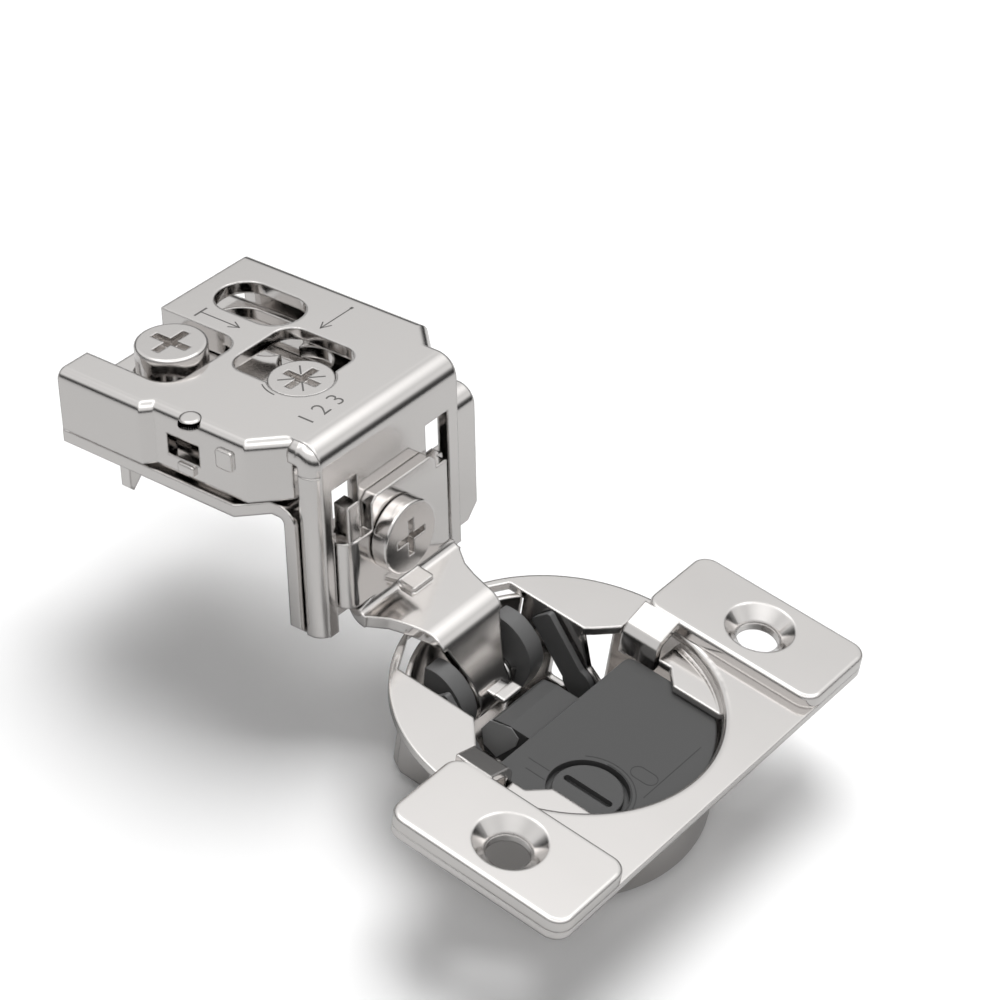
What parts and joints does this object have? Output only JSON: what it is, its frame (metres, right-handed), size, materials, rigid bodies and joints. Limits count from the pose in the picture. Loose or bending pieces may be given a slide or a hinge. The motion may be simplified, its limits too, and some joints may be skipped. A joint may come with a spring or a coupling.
{
  "type": "concealed cup hinge",
  "caption": "Concealed cup hinge for a face-frame cabinet, shown open: round cup with wings and a damper, a bent arm, and an adjustable bracket that hooks on the frame's edge.",
  "frame": {"origin": "centre of the cup, in the plane of the flange's underside, which lies on the back face of the door", "axes": "+Z out of the door's back face, Y along the hinge's axis, -X towards the cabinet's side; the hinge stands open"},
  "size_m": [0.0807, 0.0564, 0.0373],
  "materials": {
    "plated_sheet": "bright nickel plating on pressed sheet steel",
    "plated_hardware": "polished nickel plating",
    "spring_steel": "plain spring wire",
    "dark_plastic": "dark grey moulded plastic with a soft sheen",
    "switch_plastic": "dark grey moulded plastic",
    "rod_steel": "ground steel"
  },
  "bodies": {
    "cup": {"cup_shell": "plated_sheet", "flange_plate": "plated_sheet", "wing_plate_near": "plated_sheet", "wing_plate_far": "plated_sheet", "hinge_pin": "plated_hardware", "torsion_spring_near": "spring_steel", "torsion_spring_far": "spring_steel", "damper_housing": "dark_plastic", "damper_cover": "dark_plastic", "damper_cylinder": "switch_plastic"},
    "arm": {"hinge_arm": "plated_sheet", "cam_cheek_near": "dark_plastic", "cam_cheek_far": "dark_plastic"},
    "side_screw": {"side_screw": "plated_hardware"},
    "bracket": {"adjust_plate": "plated_sheet"},
    "height_cam": {"height_cam": "plated_hardware"},
    "slide": {"slide_plate": "plated_sheet"},
    "base": {"base_plate": "plated_sheet", "clamp_nut": "plated_hardware"},
    "clamp_screw": {"clamp_screw": "plated_hardware"},
    "plunger": {"damper_plunger": "dark_plastic", "damper_rod": "rod_steel"},
    "switch": {"damper_switch": "switch_plastic"},
    "levers": {"closing_lever_near": "dark_plastic", "closing_lever_far": "dark_plastic"}
  },
  "joints": [
    {"name": "hinge_swing", "type": "hinge", "parent": "cup", "child": "arm", "pos_m": [-0.0116, 0, -0.0058], "axis": [0, 1, 0], "range_deg": [0, 99.9]},
    {"name": "side_adjust", "type": "slide", "parent": "arm", "child": "bracket", "axis": [0.1722, 0, -0.9851], "range_m": [-0.0019, 0.0019]},
    {"name": "side_screw_turn", "type": "hinge", "parent": "arm", "child": "side_screw", "pos_m": [-0.02528, -0.0017, 0.01029], "axis": [0.9851, 0, 0.1722], "range_deg": [-60, 60]},
    {"name": "height_adjust", "type": "slide", "parent": "bracket", "child": "slide", "axis": [0, 1, 0], "range_m": [-0.0012, 0.0012]},
    {"name": "height_cam_turn", "type": "hinge", "parent": "bracket", "child": "height_cam", "pos_m": [-0.03847, -0.0017, 0.02301], "axis": [-0.1722, 0, 0.9851], "range_deg": [-60, 60]},
    {"name": "depth_adjust", "type": "slide", "parent": "slide", "child": "base", "axis": [-0.9851, 0, -0.1722], "range_m": [0, 0.003]},
    {"name": "clamp_screw_turn", "type": "hinge", "parent": "base", "child": "clamp_screw", "pos_m": [-0.05285, -0.0063, 0.0205], "axis": [-0.1722, 0, 0.9851], "range_deg": [0, 360]},
    {"name": "plunger_slide", "type": "slide", "parent": "cup", "child": "plunger", "axis": [1, 0, 0], "range_m": [0, 0.00531]},
    {"name": "lever_rock", "type": "hinge", "parent": "cup", "child": "levers", "pos_m": [-0.0042, 0, -0.006], "axis": [0, 1, 0], "range_deg": [-11.1, 0]},
    {"name": "damper_switch_turn", "type": "hinge", "parent": "cup", "child": "switch", "pos_m": [0.0089, -0.0076, 0], "axis": [0, 0, 1], "range_deg": [0, 90]}
  ],
  "couplings": [
    {"joint": "plunger_slide", "follows": "hinge_swing", "m_per_rad": 0.0030397},
    {"joint": "lever_rock", "follows": "hinge_swing", "ratio": -0.11011},
    {"joint": "side_screw_turn", "follows": "side_adjust", "rad_per_m": -551.1},
    {"joint": "height_cam_turn", "follows": "height_adjust", "rad_per_m": -872.58}
  ]
}
